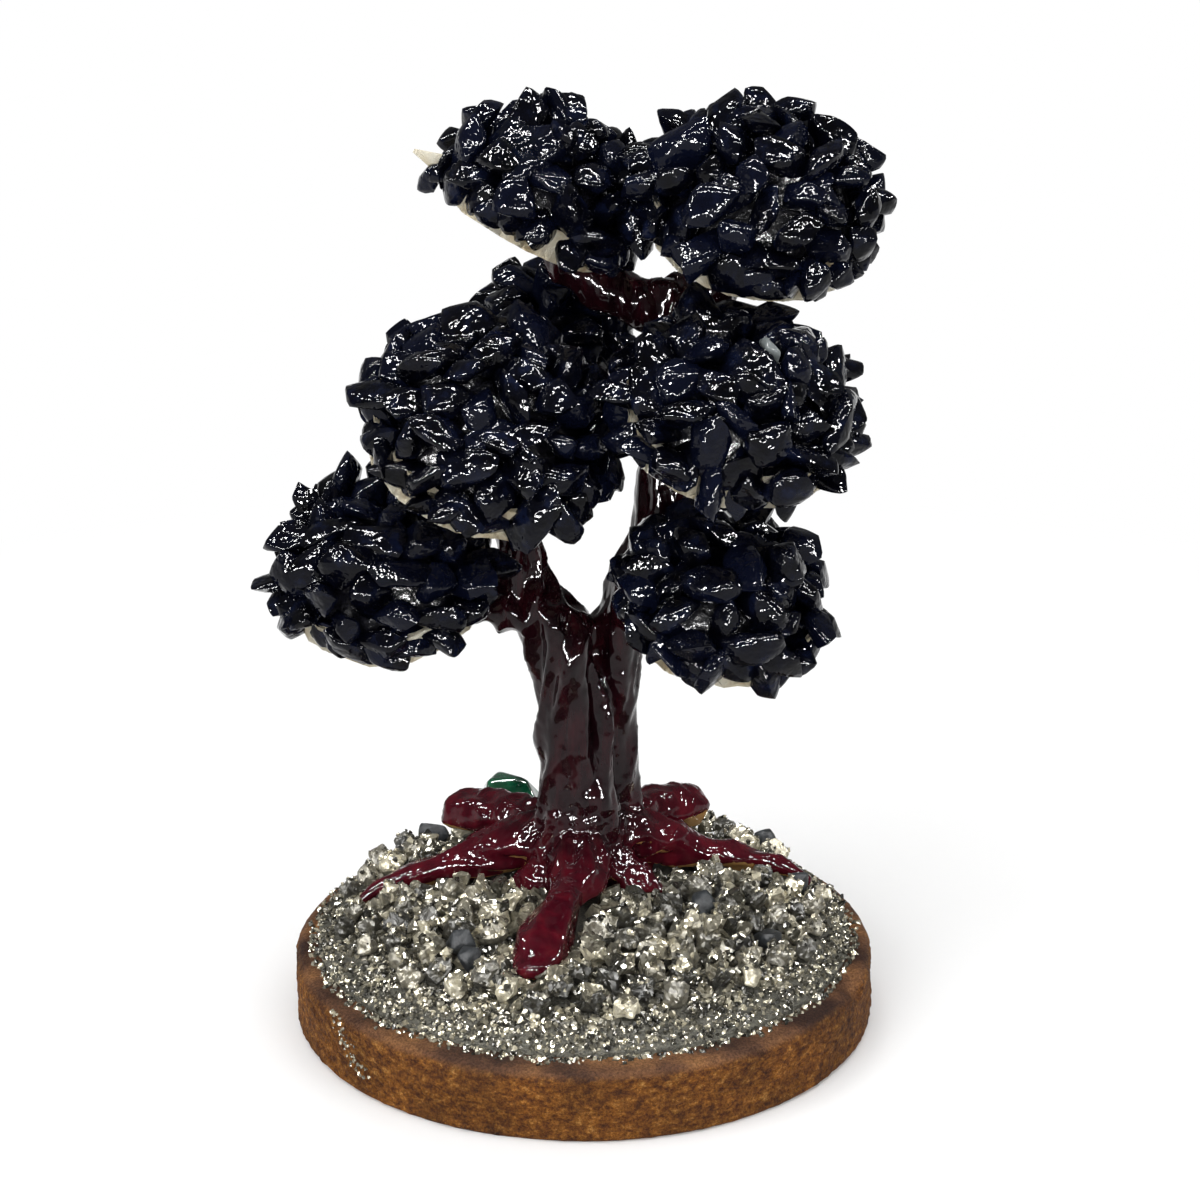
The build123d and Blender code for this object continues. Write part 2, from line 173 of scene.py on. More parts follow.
def facets(material, cells, tilt):
    """Normals turned at random in each cell of a pattern, like the small faces of crystals."""
    way = add_node(
        material, "ShaderNodeVectorMath", {0: cells}, {1: (0.5, 0.5, 0.5)}, operation="SUBTRACT"
    ).outputs[0]
    way = add_node(
        material, "ShaderNodeVectorMath", {0: way}, {"Scale": tilt}, operation="SCALE"
    ).outputs[0]
    normal = add_node(material, "ShaderNodeNewGeometry").outputs["Normal"]
    turned = add_node(material, "ShaderNodeVectorMath", {0: normal, 1: way}, operation="ADD").outputs[0]
    return add_node(material, "ShaderNodeVectorMath", {0: turned}, operation="NORMALIZE").outputs[0]


print("finish helpers ready")

# %% [markdown]
# ## Floor and light
# The ornament was photographed on white, under soft light with rows of small lamps that leave dotted
# glints on the lacquer. The floor is white and takes the shadow close to the base, and further out it
# shades off into a plain white glow, like a sweep of paper. Four soft boxes and a dim sky give the
# plain light. Rows of bright panels, hidden from matt surfaces, give only the glints: along a rounded
# edge each row shows as a dotted line.

# %% Lay the floor
floor_size = 12.0
shadow_reach = (0.09, 0.30)
floor_white = 0.94

bpy.ops.object.select_all(action="DESELECT")
bpy.ops.mesh.primitive_plane_add(size=floor_size)
floor = bpy.context.object
floor.name = "paper_floor"
paper = bpy.data.materials.new("white_paper")
paper.use_nodes = True
paper.node_tree.nodes.remove(paper.node_tree.nodes["Principled BSDF"])
place = add_node(paper, "ShaderNodeTexCoord").outputs["Object"]
reach = add_node(paper, "ShaderNodeVectorMath", {0: place}, operation="LENGTH").outputs["Value"]
far = spread(paper, reach, *shadow_reach)
matt = add_node(paper, "ShaderNodeBsdfDiffuse", values={"Color": (floor_white,) * 3 + (1,)})
glow = add_node(paper, "ShaderNodeEmission", values={"Color": (1, 1, 1, 1), "Strength": 1.0})
sheet_mix = add_node(paper, "ShaderNodeMixShader", {0: far, 1: matt.outputs[0], 2: glow.outputs[0]})
paper.node_tree.links.new(
    sheet_mix.outputs[0], paper.node_tree.nodes["Material Output"].inputs["Surface"]
)
floor.data.materials.append(paper)
print("floor", floor_size, "m across")

# %% Hang the lamps
aim = Vector((0, 0, 80)) * mm
sky_level = 0.16
# Name, place in millimetres, side in metres, power in watts.
soft_boxes = (
    ("key_box", (-620, -480, 760), 1.0, 9.0),
    ("fill_box", (700, -480, 560), 0.9, 3.8),
    ("top_box", (80, 260, 900), 0.9, 5.5),
    ("front_box", (0, -900, 130), 0.8, 6.0),
)
panel_side, panel_power = 0.045, 3.0
# First place and step in millimetres, and how many panels.
panel_rows = (
    ((-450, -430, 720), (150, 0, 0), 7),
    ((-450, 60, 860), (150, 0, 0), 7),
    ((-570, -600, 170), (190, 0, 0), 7),
    ((-720, -200, 420), (0, 260, 60), 2),
    ((720, -200, 420), (0, 260, 60), 2),
)


def hang_lamp(name, place, side, power):
    """A square lamp that faces the tree."""
    bpy.ops.object.light_add(type="AREA", location=place)
    lamp = bpy.context.object
    lamp.name = name
    lamp.rotation_euler = (aim - place).to_track_quat("-Z", "Y").to_euler()
    lamp.data.size = side
    lamp.data.energy = power
    return lamp


for name, place, side, power in soft_boxes:
    hang_lamp(name, Vector(place) * mm, side, power).visible_glossy = False
for row, (start, step, count) in enumerate(panel_rows):
    for i in range(count):
        place = (Vector(start) + Vector(step) * i) * mm
        hang_lamp(f"panel_{row}_{i}", place, panel_side, panel_power).visible_diffuse = False

world = bpy.data.worlds.new("pale_sky")
world.use_nodes = True
world.node_tree.nodes["Background"].inputs["Color"].default_value = (1, 1, 1, 1)
world.node_tree.nodes["Background"].inputs["Strength"].default_value = sky_level
bpy.context.scene.world = world
print(len(soft_boxes), "soft boxes and", sum(row[2] for row in panel_rows), "panels")

# %% [markdown]
# ## Mesh helpers
# Operators act on whatever is selected, so each step starts by picking one object alone. A node's
# mesh is loose triangles: a copy of it is merged, and then it can be shaped like any other mesh.


# %% Helpers for meshes
merge_reach = 0.005 * mm
flat_angle = math.radians(3)
sharp_angle = math.radians(60)


def pick_alone(obj):
    """Selects one object and makes it active, with all the rest deselected."""
    bpy.ops.object.select_all(action="DESELECT")
    obj.select_set(True)
    bpy.context.view_layer.objects.active = obj


def finish_with(obj, kind, **settings):
    """Adds a modifier, sets it up and applies it."""
    pick_alone(obj)
    modifier = obj.modifiers.new(kind.lower(), kind)
    for key, value in settings.items():
        setattr(modifier, key, value)
    bpy.ops.object.modifier_apply(modifier=modifier.name)


def merged_copy(name, *node_names):
    """One new object with copies of nodes' meshes, their triangles merged into closed solids."""
    copies = []
    for node_name in node_names:
        mesh = nodes[node_name].data.copy()
        mesh.materials.clear()
        copy = bpy.data.objects.new(name, mesh)
        bpy.context.collection.objects.link(copy)
        copies.append(copy)
    bpy.ops.object.select_all(action="DESELECT")
    for copy in copies:
        copy.select_set(True)
    bpy.context.view_layer.objects.active = copies[0]
    if len(copies) > 1:
        bpy.ops.object.join()
    obj = bpy.context.view_layer.objects.active
    obj.name = name
    bpy.ops.object.mode_set(mode="EDIT")
    bpy.ops.mesh.select_all(action="SELECT")
    bpy.ops.mesh.remove_doubles(threshold=merge_reach)
    bpy.ops.mesh.customdata_custom_splitnormals_clear()
    bpy.ops.object.mode_set(mode="OBJECT")
    return obj


def corners_of(obj):
    """An array of the mesh's points, one row each."""
    points = np.empty(len(obj.data.vertices) * 3)
    obj.data.vertices.foreach_get("co", points)
    return points.reshape(-1, 3)


def move_corners(obj, points):
    """Moves the mesh's points to an array of new places."""
    obj.data.vertices.foreach_set("co", np.asarray(points).ravel())
    obj.data.update()


def note(obj, name, values):
    """Keeps one number for each point on the mesh, for its finish to read."""
    obj.data.attributes.new(name, "FLOAT", "POINT").data.foreach_set("value", values)


def new_piece(name, points, faces):
    """A new object from points and faces."""
    mesh = bpy.data.meshes.new(name)
    mesh.from_pydata([tuple(p) for p in points], [], [tuple(f) for f in faces])
    obj = bpy.data.objects.new(name, mesh)
    bpy.context.collection.objects.link(obj)
    return obj


def merge_flat_faces(obj):
    """Joins triangles that lie in one plane into one face."""
    pick_alone(obj)
    bpy.ops.object.mode_set(mode="EDIT")
    bpy.ops.mesh.dissolve_limited(angle_limit=flat_angle)
    bpy.ops.object.mode_set(mode="OBJECT")


def round_stones(obj, crease, levels):
    """Rounds a mesh with a subdivision surface that keeps its edges half sharp."""
    edges = obj.data.attributes.new("crease_edge", "FLOAT", "EDGE")
    edges.data.foreach_set("value", np.full(len(obj.data.edges), crease))
    finish_with(obj, "SUBSURF", levels=levels, render_levels=levels)


def recoat(name, finish):
    """Gives a node that stays as it is in the frame a finish of its own."""
    nodes[name].data.materials.clear()
    nodes[name].data.materials.append(finish)


def stones_of(obj):
    """The separate stones of a merged mesh: for each, the rows of its points and its faces."""
    owner = list(range(len(obj.data.vertices)))

    def head(i):
        while owner[i] != i:
            owner[i] = owner[owner[i]]
            i = owner[i]
        return i

    faces = [tuple(p.vertices) for p in obj.data.polygons]
    for face in faces:
        for corner in face[1:]:
            owner[head(corner)] = head(face[0])
    groups = {}
    for i in range(len(owner)):
        groups.setdefault(head(i), ([], []))[0].append(i)
    for face in faces:
        groups[head(face[0])][1].append(face)
    return list(groups.values())


def joined_stones(name, stones):
    """One piece from separate stones, each a pair of points and faces, and the stone of each point."""
    points, faces, owners = [], [], []
    for i, (own_points, own_faces) in enumerate(stones):
        faces += [[corner + len(points) for corner in face] for face in own_faces]
        points += [tuple(p) for p in own_points]
        owners += [i] * len(own_points)
    return new_piece(name, points, faces), np.array(owners)


def finish_piece(obj, finish, slot, *node_names, smooth=True):
    """Gives a piece its finish, attaches it to the root body and hides the nodes it stands in for."""
    pick_alone(obj)
    if smooth:
        bpy.ops.object.shade_smooth_by_angle(angle=sharp_angle)
    obj.data.materials.append(finish)
    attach(obj, "root")
    if node_names:
        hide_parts(*node_names)
    print(obj.name, "faces", len(obj.data.polygons))


def random_turn(random):
    """A turn about a random axis by a random angle, as a 3 by 3 array."""
    axis = Vector([random.gauss(0, 1) for _ in range(3)])
    return np.array(Matrix.Rotation(random.uniform(0, math.tau), 3, axis))


print("mesh helpers ready")

# %% [markdown]
# ## Round base
# The base is a disc of fibreboard with a rounded top edge. Its side is coarse where the saw tore the
# fibres, and stain has soaked in unevenly, from golden brown to nearly black. Its top is smoother.
# Half of its outline is drawn once and spun about the upright axis, and its points are then moved in
# and out a little so that the coarse side is real.

# %% Turn the base
base_low, base_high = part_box("base_disc")
base_radius = (base_high.x - base_low.x) / 2
base_top = base_high.z
base_round = 1.9 * mm
base_foot_round = 0.6 * mm
foot_ring_share = 0.5
side_rings, round_rings, top_rings, base_spokes = 16, 6, 14, 288


def base_outline():
    """Half outline of the disc, from the middle of its underside to the middle of its top."""
    outline = [(0, 0), (base_radius * foot_ring_share, 0), (base_radius - base_foot_round, 0)]
    rise = base_top - base_round - base_foot_round
    for i in range(side_rings + 1):
        outline.append((base_radius, base_foot_round + rise * i / side_rings))
    for i in range(1, round_rings + 1):
        turn = math.pi / 2 * i / round_rings
        across = base_radius - base_round * (1 - math.cos(turn))
        outline.append((across, base_top - base_round * (1 - math.sin(turn))))
    for i in range(1, top_rings + 1):
        outline.append(((base_radius - base_round) * (1 - i / top_rings), base_top))
    return outline


outline = base_outline()
round_base = new_piece("round_base", [(x, 0, z) for x, z in outline], [])
round_base.data.edges.add(len(outline) - 1)
for i, edge in enumerate(round_base.data.edges):
    edge.vertices = (i, i + 1)
pick_alone(round_base)
bpy.ops.object.mode_set(mode="EDIT")
bpy.ops.mesh.select_all(action="SELECT")
bpy.ops.mesh.spin(steps=base_spokes, angle=math.tau, center=(0, 0, 0), axis=(0, 0, 1))
bpy.ops.mesh.select_all(action="SELECT")
bpy.ops.mesh.remove_doubles(threshold=merge_reach)
bpy.ops.mesh.normals_make_consistent(inside=False)
bpy.ops.object.mode_set(mode="OBJECT")
print("base outline of", len(outline), "points, spun to", len(round_base.data.vertices))

# %% Roughen its side
side_roughness = 0.30 * mm
side_waviness = 0.35 * mm
side_share = 0.9
fibre_length, fibre_height = 1.8 * mm, 0.7 * mm
wave_length, wave_height, wave_layer = 16 * mm, 5 * mm, 7
nick_place = Vector((45.3, -18.9, 12.0)) * mm
nick_reach = 3.4 * mm
nick_depth = 1.1 * mm


def roughened(point):
    """A point of the base, moved by the torn fibres of the side and by the nick in the rim."""
    flat = Vector((point.x, point.y, 0))
    if flat.length < base_radius * side_share:
        return point
    outward = flat.normalized()
    arc = math.atan2(point.y, point.x) * base_radius
    fibre = noise.noise(Vector((arc / fibre_length, point.z / fibre_height, 0)))
    wave = noise.noise(Vector((arc / wave_length, point.z / wave_height, wave_layer)))
    side = min(1, (base_radius - flat.length) / base_round)
    move = outward * ((fibre * side_roughness + wave * side_waviness) * (1 - side) - side_waviness)
    near = max(0, 1 - (point - nick_place).length / nick_reach)
    return point + move - (outward + Vector((0, 0, 1))) * nick_depth * math.sqrt(near)


for vertex in round_base.data.vertices:
    vertex.co = roughened(vertex.co)
round_base.data.update()
print("side rough by", round(side_roughness / mm, 2), "mm")

# %% Stain it
board, board_shader = new_finish("stained_board", Roughness=0.62, Specular_IOR_Level=0.06)
fibres = object_pattern(
    board, "ShaderNodeTexNoise", (1, 1, 1.5), {"Scale": 560.0, "Detail": 8.0, "Roughness": 0.78}
)
blotches = object_pattern(board, "ShaderNodeTexNoise", values={"Scale": 85.0, "Detail": 4.0})
grains = object_pattern(
    board, "ShaderNodeTexNoise", values={"Scale": 2400.0, "Detail": 3.0, "Roughness": 0.7}
)
side_stain = colour_ramp(
    board,
    fibres.outputs["Fac"],
    (
        (0.32, (0.020, 0.005, 0.001)),
        (0.44, (0.120, 0.036, 0.004)),
        (0.56, (0.265, 0.095, 0.011)),
        (0.68, (0.540, 0.265, 0.060)),
    ),
)
top_stain = colour_ramp(
    board,
    blotches.outputs["Fac"],
    (
        (0.34, (0.080, 0.032, 0.018)),
        (0.50, (0.185, 0.080, 0.036)),
        (0.66, (0.320, 0.145, 0.050)),
    ),
)
facing = add_node(board, "ShaderNodeNewGeometry").outputs["Normal"]
facing = add_node(board, "ShaderNodeSeparateXYZ", {"Vector": facing}).outputs["Z"]
top_share = spread(board, facing, 0.35, 0.85)
stain = mix_colours(board, top_share, side_stain, top_stain)
soak = spread(board, blotches.outputs["Fac"], 0.35, 0.65, 0.62, 1.15)
shade = add_node(board, "ShaderNodeCombineColor", {0: soak, 1: soak, 2: soak}).outputs["Color"]
stain = mix_colours(board, 1.0, stain, shade, "MULTIPLY")
specks = colour_ramp(
    board, grains.outputs["Fac"], ((0.36, (0.50, 0.48, 0.46)), (0.64, (1.30, 1.32, 1.34)))
)
stain = mix_colours(board, 1.0, stain, specks, "MULTIPLY")
board_bump = bump(board, ((fibres.outputs["Fac"], 0.9), (grains.outputs["Fac"], 0.25)))
connect(board, board_shader, Base_Color=stain, Normal=board_bump)
finish_piece(round_base, board, "stained_board", "base_disc")

# %% [markdown]
# ## Lacquered tree
# Trunk, roots and branches were modelled in clay over wire, with ridges drawn along them, and then
# flooded with lacquer: crimson on the roots and almost black higher up. The nodes give the limbs their
# place and girth. Copies of them are remeshed into one skin, which is smoothed where limbs meet, and
# ridges are then raised along the way each limb runs.

# %% Join the limbs into one skin
root_names = [name for name in nodes if name.endswith("_root")]
branch_names = [name for name in nodes if name.endswith("_branch")]
limb_names = ["left_stem", "right_stem", *root_names, *branch_names]
skin_voxel = 0.55 * mm
skin_rounds, ridge_rounds = 6, 2

tree = merged_copy("lacquered_tree", *limb_names)
finish_with(tree, "REMESH", mode="VOXEL", voxel_size=skin_voxel)
finish_with(tree, "SMOOTH", factor=0.5, iterations=skin_rounds)
print("skin of", len(tree.data.polygons), "faces over", len(limb_names), "limbs")

# %% Raise the ridges
trunk_foot = Vector((0, 10, 12)) * mm
root_top = 34 * mm
# Low end and high end as (x, z), height and width, all in millimetres.
front_seams = (
    ((-7.6, 41.0), (0.2, 68.0), 1.5, 1.5),
    ((2.5, 36.0), (2.8, 67.0), -1.7, 1.1),
    ((8.3, 39.0), (6.5, 58.0), 0.8, 1.3),
)
seam_end_power = 4
ridge_height = 1.6 * mm
ridge_width = 4.6 * mm
ridge_run = 34 * mm
ridge_level = 0.45
fine_height = 0.5 * mm
fine_share = 0.42
lump_height = 0.22 * mm
root_calm = 0.6
root_span = 20 * mm
root_inner, root_blend, root_layer = 8 * mm, 12 * mm, 40
lump_width = 2.4 * mm
twist_turn, twist_rise = math.radians(150), 113 * mm
twist_rate = twist_turn / twist_rise


def seam_at(point, low, high, height, width):
    """How far one seam on the trunk's front, straight from a low to a high (x, z), stands out."""
    share = (point.z / mm - low[1]) / (high[1] - low[1])
    aside = point.x / mm - (low[0] + (high[0] - low[0]) * share)
    fade = max(0, 1 - abs(2 * share - 1) ** seam_end_power)
    return height * mm * fade * math.exp(-((aside / width) ** 2))


def ridge_at(point):
    """How far a point of the skin stands out: ridges that run along the limb, and small lumps."""
    reach = Vector((point.x - trunk_foot.x, point.y - trunk_foot.y))
    turn = twist_rate * point.z
    wrung = Matrix.Rotation(-turn, 2) @ reach
    up_trunk = Vector((wrung.x / ridge_width, wrung.y / ridge_width, point.z / ridge_run))
    heading = math.atan2(reach.y, reach.x)
    out = max(reach.length, root_inner)
    level = point.z / ridge_width + root_layer
    along_root = Vector((out / ridge_run, heading * root_span / ridge_width, level))
    rooted = min(1, max(0, (root_top - point.z) / root_blend)) * min(1, reach.length / root_blend)
    lines = up_trunk.lerp(along_root, rooted)
    ridge = 1 - 2 * abs(noise.noise(up_trunk) * (1 - rooted) + noise.noise(along_root) * rooted)
    fine = noise.noise(lines / fine_share)
    lump = noise.noise(point / lump_width)
    calm = 1 - root_calm * rooted
    stand = (ridge - ridge_level) * ridge_height + (fine * fine_height + lump * lump_height) * calm
    if point.y < trunk_foot.y:
        stand += sum(seam_at(point, *seam) for seam in front_seams)
    return stand


normals = [vertex.normal.copy() for vertex in tree.data.vertices]
for vertex, normal in zip(tree.data.vertices, normals):
    vertex.co += normal * ridge_at(vertex.co)
tree.data.update()
finish_with(tree, "SMOOTH", factor=0.5, iterations=ridge_rounds)
print("ridges up to", round(ridge_height / mm, 2), "mm")

# %% Mark where the lacquer is thin and where it missed
bed_low, bed_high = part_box("grit_bed")
crimson_top, crimson_fade = 40 * mm, 20 * mm
crimson_inner, crimson_spread, crimson_least = 5 * mm, 9 * mm, 0.12
bare_rise, bare_inner = 7.5 * mm, 9 * mm
patch_size, patch_share = 5 * mm, 1.3
bare_slope, bare_level = 2.2, 0.35


def crimson_at(point):
    """One on the roots, where the lacquer is thin and red, and falling to zero up the trunk."""
    reach = Vector((point.x - trunk_foot.x, point.y - trunk_foot.y)).length
    low = (crimson_top - point.z) / crimson_fade
    out = (reach - crimson_inner) / crimson_spread
    return max(0, min(1, low)) * max(crimson_least, min(1, out))


def bare_at(vertex):
    """One on the undersides of roots that the lacquer missed."""
    reach = Vector((vertex.co.x - trunk_foot.x, vertex.co.y - trunk_foot.y)).length
    if reach < bare_inner or vertex.co.z > bed_high.z + bare_rise:
        return 0
    patch = patch_share * noise.noise(vertex.co / patch_size)
    return max(0, min(1, -vertex.normal.z * bare_slope + patch - bare_level))


note(tree, "crimson", [crimson_at(vertex.co) for vertex in tree.data.vertices])
note(tree, "bare", [bare_at(vertex) for vertex in tree.data.vertices])
print("marked", len(tree.data.vertices), "points of the skin")

# %% Lacquer it
lacquer, lacquer_shader = new_finish("red_brown_lacquer", Roughness=0.08, IOR=1.30)
crimson = add_node(lacquer, "ShaderNodeAttribute", attribute_name="crimson").outputs["Fac"]
bare = add_node(lacquer, "ShaderNodeAttribute", attribute_name="bare").outputs["Fac"]
streaks = object_pattern(
    lacquer, "ShaderNodeTexNoise", (1, 1, 0.25), {"Scale": 420.0, "Detail": 4.0}
)
ripples = object_pattern(
    lacquer, "ShaderNodeTexNoise", (1, 1, 0.6), {"Scale": 520.0, "Detail": 1.0, "Roughness": 0.4}
)
dark_coat = colour_ramp(
    lacquer,
    streaks.outputs["Fac"],
    ((0.32, (0.004, 0.0010, 0.0018)), (0.52, (0.010, 0.0017, 0.0032)), (0.70, (0.022, 0.003, 0.005))),
)
red_coat = colour_ramp(
    lacquer,
    streaks.outputs["Fac"],
    ((0.30, (0.038, 0.002, 0.006)), (0.50, (0.060, 0.0032, 0.0085)), (0.68, (0.090, 0.0052, 0.011))),
)
coat = mix_colours(lacquer, spread(lacquer, crimson, 0.05, 0.8), dark_coat, red_coat)
coat = mix_colours(lacquer, spread(lacquer, bare, 0.80, 0.95), coat, (0.36, 0.20, 0.07))
coat_bump = bump(lacquer, ((ripples.outputs["Fac"], 0.35),))
connect(lacquer, lacquer_shader, Base_Color=coat, Normal=coat_bump)
finish_piece(tree, lacquer, "lacquered_clay", *limb_names)

# %% [markdown]
# ## Felt backings
# Each pad is a disc of cream felt, cut by hand, so its edge is ragged and a little wavy. The disc's
# place is read from its node: the thin way of the node's points is its normal. A fresh disc is added
# there, cut into rings by insets, and its rim is pulled in and out.

# %% Cut the felts
felt_spokes = 240
felt_rings = 4
felt_ragged = 0.70 * mm
felt_wave, felt_wave_size = 0.40 * mm, 9 * mm
coarse_fray, fine_fray, fine_fray_share = 9, 40, 0.8
seed_range = (0, 100)
felt_trim = 0.1 * mm
felt_thin = 0.65


def felt_place(pad):
    """Centre, frame and size of a pad's backing, read from its node."""
    points = corners_of(nodes[f"{pad}_backing"])
    axes = np.linalg.svd(points - points.mean(0), full_matrices=False)[2]
    if axes[2][2] < 0:
        axes[2] *= -1
    axes[1] = np.cross(axes[2], axes[0])
    local = points @ axes.T
    centre = (local.min(0) + local.max(0)) / 2 @ axes
    size = local.max(0) - local.min(0)
    return centre, axes, size[0] / 2, size[2]


def left_way(axes):
    """The way in a pad's plane that points furthest to the left."""
    way = np.array([-1, 0, 0]) + axes[2] * axes[2][0]
    return way / np.linalg.norm(way)


def cut_felt(pad):
    """A felt disc with a ragged rim, in the place of a pad's backing."""
    random = Random(pad)
    centre, axes, radius, thickness = felt_place(pad)
    bpy.ops.object.select_all(action="DESELECT")
    radius -= felt_trim
    bpy.ops.mesh.primitive_cylinder_add(
        vertices=felt_spokes, radius=radius, depth=thickness * felt_thin
    )
    felt = bpy.context.object
    felt.name = f"{pad}_felt"
    bpy.ops.object.mode_set(mode="EDIT")
    bpy.ops.mesh.select_all(action="DESELECT")
    bpy.ops.object.mode_set(mode="OBJECT")
    for face in felt.data.polygons:
        face.select = len(face.vertices) == felt_spokes
    bpy.ops.object.mode_set(mode="EDIT")
    for _ in range(felt_rings):
        bpy.ops.mesh.inset(thickness=radius / (felt_rings + 1), use_individual=True)
    bpy.ops.object.mode_set(mode="OBJECT")
    seed = random.uniform(*seed_range)
    points = []
    for x, y, z in corners_of(felt):
        turn = math.atan2(y, x)
        across, along = math.cos(turn), math.sin(turn)
        rim = (math.hypot(x, y) / radius) ** 3
        fray = noise.noise(Vector((across * coarse_fray, along * coarse_fray, seed)))
        fray += fine_fray_share * noise.noise(Vector((across * fine_fray, along * fine_fray, seed)))
        lift = noise.noise(Vector((x / felt_wave_size, y / felt_wave_size, seed))) * felt_wave * rim
        grow = 1 + fray * felt_ragged * rim / radius
        points.append(centre + np.array([x * grow, y * grow, z + lift]) @ axes)
    move_corners(felt, points)
    return felt


felt_cloth, felt_shader = new_finish("cream_felt", Roughness=0.92, Specular_IOR_Level=0.05)
fuzz = object_pattern(
    felt_cloth, "ShaderNodeTexNoise", values={"Scale": 1900.0, "Detail": 5.0, "Roughness": 0.7}
)
stains = object_pattern(felt_cloth, "ShaderNodeTexNoise", values={"Scale": 190.0, "Detail": 3.0})
cream = colour_ramp(
    felt_cloth,
    stains.outputs["Fac"],
    ((0.30, (0.600, 0.480, 0.290)), (0.42, (0.800, 0.710, 0.520)), (0.60, (0.900, 0.850, 0.710))),
)
fuzz_bump = bump(felt_cloth, ((fuzz.outputs["Fac"], 0.5),))
connect(felt_cloth, felt_shader, Base_Color=cream, Normal=fuzz_bump)
for pad in pads:
    finish_piece(cut_felt(pad), felt_cloth, "cream_felt", f"{pad}_backing")

# %% Leave a tongue of felt on one pad
tongue_pad = "top_left"
tongue_length, tongue_width, tongue_flat = 11.0 * mm, 9.5 * mm, 0.11
tongue_tip = tongue_width / 20
tongue_corners = 20
tongue_reach = 1.8 * mm
tongue_tilt = math.radians(60)


def cut_tongue():
    """A pointed scrap of felt that was left on a pad's rim: a cone pressed flat."""
    centre, axes, radius, _ = felt_place(tongue_pad)
    bpy.ops.object.select_all(action="DESELECT")
    bpy.ops.mesh.primitive_cone_add(
        vertices=tongue_corners, radius1=tongue_width / 2, radius2=tongue_tip, depth=tongue_length
    )
    tongue = bpy.context.object
    tongue.name = f"{tongue_pad}_tongue"
    way = left_way(axes)
    turn = np.array(Matrix.Rotation(tongue_tilt, 3, Vector(way)))
    across, upward = turn @ np.cross(way, axes[2]), turn @ axes[2]
    root = centre + way * (radius + tongue_reach)
    frame_of_tongue = np.array([across, upward * tongue_flat, way])
    move_corners(tongue, root + corners_of(tongue) @ frame_of_tongue)
    return tongue


finish_piece(cut_tongue(), felt_cloth, "cream_felt")

# %% [markdown]
# ## Tumbled chips
# The chips are broken stone, tumbled until their edges are soft, heaped on the glue and then flooded
# with lacquer, so that they look wet. Each solid of the node is one chip. Its copy is drawn out into a
# splinter, so that the heap is less regular, and a subdivision surface with half-sharp edges rounds
# it. A few more chips are stuck on top, where the heap's outside is found with a ray, and on the rim.
# Some bridge the gap between the two top pads, one hangs loose on a rim, and one is left pale.

# %% Heap the chips
chip_long, chip_wide, chip_thin = (1.20, 1.50), (1.05, 1.30), (0.72, 1.02)
chip_lift = (-0.2 * mm, 1.0 * mm)
heap_lean, heart_rise = 0.4, 0.12
extra_chips = 14
extra_sink = 1.6 * mm
extra_tilt, extra_start = (0.25, 1.3), 3
rim_pitch = 3.5 * mm
rim_jitter = (-0.3, 0.3)
rim_reach = (-1.3 * mm, 0.8 * mm)
rim_rise = (0.0 * mm, 1.6 * mm)
bridge_pad, bridge_chips, bridge_reach = "top_right", 11, 1.8 * mm
# Ranges along x, y and z, in millimetres.
bridge_spread = ((-1.0, 0.8), (0.5, 6.0), (-3.5, 9.0))
pale_pad, pale_spot = "mid_right", np.array([29.0, -20.5, 121.2]) * mm
loose_pad, loose_reach, loose_drop = "top_left", 2.6 * mm, 2.9 * mm
small_size = 0.62
chip_crease, chip_levels = 0.48, 2
chip_waves = 0.28 * mm
chip_wave_size = 1.5 * mm
dark_tones = 0.97


def splintered(random, points):
    """Points of a chip about its middle, drawn out one way and pressed thin another."""
    axes = random_turn(random)
    shares = [random.uniform(*limits) for limits in (chip_long, chip_wide, chip_thin)]
    return points @ axes * np.array(shares) @ axes.T


def turned_chip(random, chip, place):
    """A copy of a chip, turned at random, with its middle at a new place."""
    points, faces = chip
    return (points - points.mean(0)) @ random_turn(random).T + np.array(place), faces


def small_chip(random, chip, place):
    """A smaller copy of a chip, turned at random."""
    points, faces = turned_chip(random, chip, place)
    return place + (points - place) * small_size, faces


